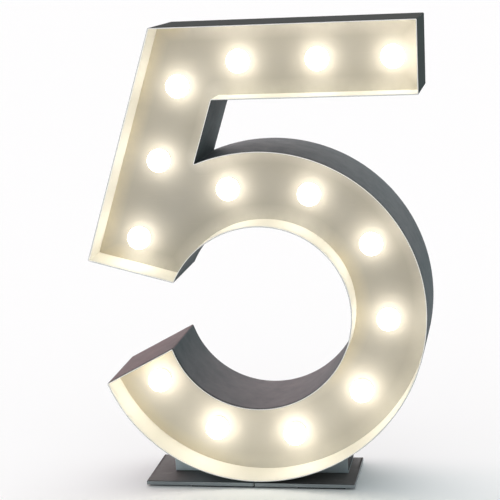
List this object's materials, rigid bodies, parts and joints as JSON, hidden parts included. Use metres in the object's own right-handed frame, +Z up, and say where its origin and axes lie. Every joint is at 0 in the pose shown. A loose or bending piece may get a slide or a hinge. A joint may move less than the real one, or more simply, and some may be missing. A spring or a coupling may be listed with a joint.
{
  "type": "marquee number",
  "caption": "Free-standing marquee numeral: a deep sheet-metal tray, open in front, lit by round frosted bulbs on a set-back panel, on a cradle and a flat split base.",
  "frame": {"origin": "on the floor, under the middle of the overall box", "axes": "+X to the right seen from the front, +Y to the back, +Z up; the open front faces -Y"},
  "size_m": [0.8806, 0.26, 1.2161],
  "materials": {
    "slate_paint": "satin",
    "white_paint": "satin",
    "frosted_glass": "satin",
    "ivory_plastic": "satin",
    "black_plastic": "satin",
    "zinc_plated_steel": "satin",
    "base_paint": "satin",
    "black_rubber": "matte"
  },
  "bodies": {
    "housing": {"wall_top": "slate_paint", "wall_bar_end": "slate_paint", "wall_bar_underside": "slate_paint", "wall_neck": "slate_paint", "wall_bowl_outside": "slate_paint", "wall_terminal": "slate_paint", "wall_bowl_inside": "slate_paint", "wall_foot": "slate_paint", "wall_left_side": "slate_paint", "face_panel": "white_paint", "lampholder_01": "ivory_plastic", "lampholder_02": "ivory_plastic", "lampholder_03": "ivory_plastic", "lampholder_04": "ivory_plastic", "lampholder_05": "ivory_plastic", "lampholder_06": "ivory_plastic", "lampholder_07": "ivory_plastic", "lampholder_08": "ivory_plastic", "lampholder_09": "ivory_plastic", "lampholder_10": "ivory_plastic", "lampholder_11": "ivory_plastic", "lampholder_12": "ivory_plastic", "lampholder_13": "ivory_plastic", "lampholder_14": "ivory_plastic", "wiring_loom": "black_plastic", "cover_spacer_1": "zinc_plated_steel", "cover_screw_1": "zinc_plated_steel", "cover_spacer_2": "zinc_plated_steel", "cover_screw_2": "zinc_plated_steel", "cover_spacer_3": "zinc_plated_steel", "cover_screw_3": "zinc_plated_steel", "cover_spacer_4": "zinc_plated_steel", "cover_screw_4": "zinc_plated_steel", "cover_spacer_5": "zinc_plated_steel", "cover_screw_5": "zinc_plated_steel", "rear_cover": "slate_paint", "power_inlet": "black_plastic", "cradle": "base_paint", "base_plate_left": "base_paint", "base_plate_right": "base_paint", "base_bolt_left": "zinc_plated_steel", "base_bolt_right": "zinc_plated_steel", "rubber_pad_left": "black_rubber", "rubber_pad_right": "black_rubber"},
    "bulb_01": {"bulb_01": "frosted_glass"},
    "bulb_02": {"bulb_02": "frosted_glass"},
    "bulb_03": {"bulb_03": "frosted_glass"},
    "bulb_04": {"bulb_04": "frosted_glass"},
    "bulb_05": {"bulb_05": "frosted_glass"},
    "bulb_06": {"bulb_06": "frosted_glass"},
    "bulb_07": {"bulb_07": "frosted_glass"},
    "bulb_08": {"bulb_08": "frosted_glass"},
    "bulb_09": {"bulb_09": "frosted_glass"},
    "bulb_10": {"bulb_10": "frosted_glass"},
    "bulb_11": {"bulb_11": "frosted_glass"},
    "bulb_12": {"bulb_12": "frosted_glass"},
    "bulb_13": {"bulb_13": "frosted_glass"},
    "bulb_14": {"bulb_14": "frosted_glass"},
    "rocker_switch": {"rocker_switch": "black_plastic"},
    "fuse_drawer": {"fuse_drawer": "black_plastic"}
  },
  "joints": [
    {"name": "bulb_01_unscrew", "type": "slide", "parent": "housing", "child": "bulb_01", "axis": [0, -1, 0], "range_m": [0, 0.03]},
    {"name": "bulb_02_unscrew", "type": "slide", "parent": "housing", "child": "bulb_02", "axis": [0, -1, 0], "range_m": [0, 0.03]},
    {"name": "bulb_03_unscrew", "type": "slide", "parent": "housing", "child": "bulb_03", "axis": [0, -1, 0], "range_m": [0, 0.03]},
    {"name": "bulb_04_unscrew", "type": "slide", "parent": "housing", "child": "bulb_04", "axis": [0, -1, 0], "range_m": [0, 0.03]},
    {"name": "bulb_05_unscrew", "type": "slide", "parent": "housing", "child": "bulb_05", "axis": [0, -1, 0], "range_m": [0, 0.03]},
    {"name": "bulb_06_unscrew", "type": "slide", "parent": "housing", "child": "bulb_06", "axis": [0, -1, 0], "range_m": [0, 0.03]},
    {"name": "bulb_07_unscrew", "type": "slide", "parent": "housing", "child": "bulb_07", "axis": [0, -1, 0], "range_m": [0, 0.03]},
    {"name": "bulb_08_unscrew", "type": "slide", "parent": "housing", "child": "bulb_08", "axis": [0, -1, 0], "range_m": [0, 0.03]},
    {"name": "bulb_09_unscrew", "type": "slide", "parent": "housing", "child": "bulb_09", "axis": [0, -1, 0], "range_m": [0, 0.03]},
    {"name": "bulb_10_unscrew", "type": "slide", "parent": "housing", "child": "bulb_10", "axis": [0, -1, 0], "range_m": [0, 0.03]},
    {"name": "bulb_11_unscrew", "type": "slide", "parent": "housing", "child": "bulb_11", "axis": [0, -1, 0], "range_m": [0, 0.03]},
    {"name": "bulb_12_unscrew", "type": "slide", "parent": "housing", "child": "bulb_12", "axis": [0, -1, 0], "range_m": [0, 0.03]},
    {"name": "bulb_13_unscrew", "type": "slide", "parent": "housing", "child": "bulb_13", "axis": [0, -1, 0], "range_m": [0, 0.03]},
    {"name": "bulb_14_unscrew", "type": "slide", "parent": "housing", "child": "bulb_14", "axis": [0, -1, 0], "range_m": [0, 0.03]},
    {"name": "rocker_tip", "type": "hinge", "parent": "housing", "child": "rocker_switch", "pos_m": [-0.21928, 0.1208, 0.21415], "axis": [1, 0, 0], "range_deg": [0, 20]},
    {"name": "fuse_drawer_slide", "type": "slide", "parent": "housing", "child": "fuse_drawer", "axis": [0, 1, 0], "range_m": [0, 0.017]}
  ]
}
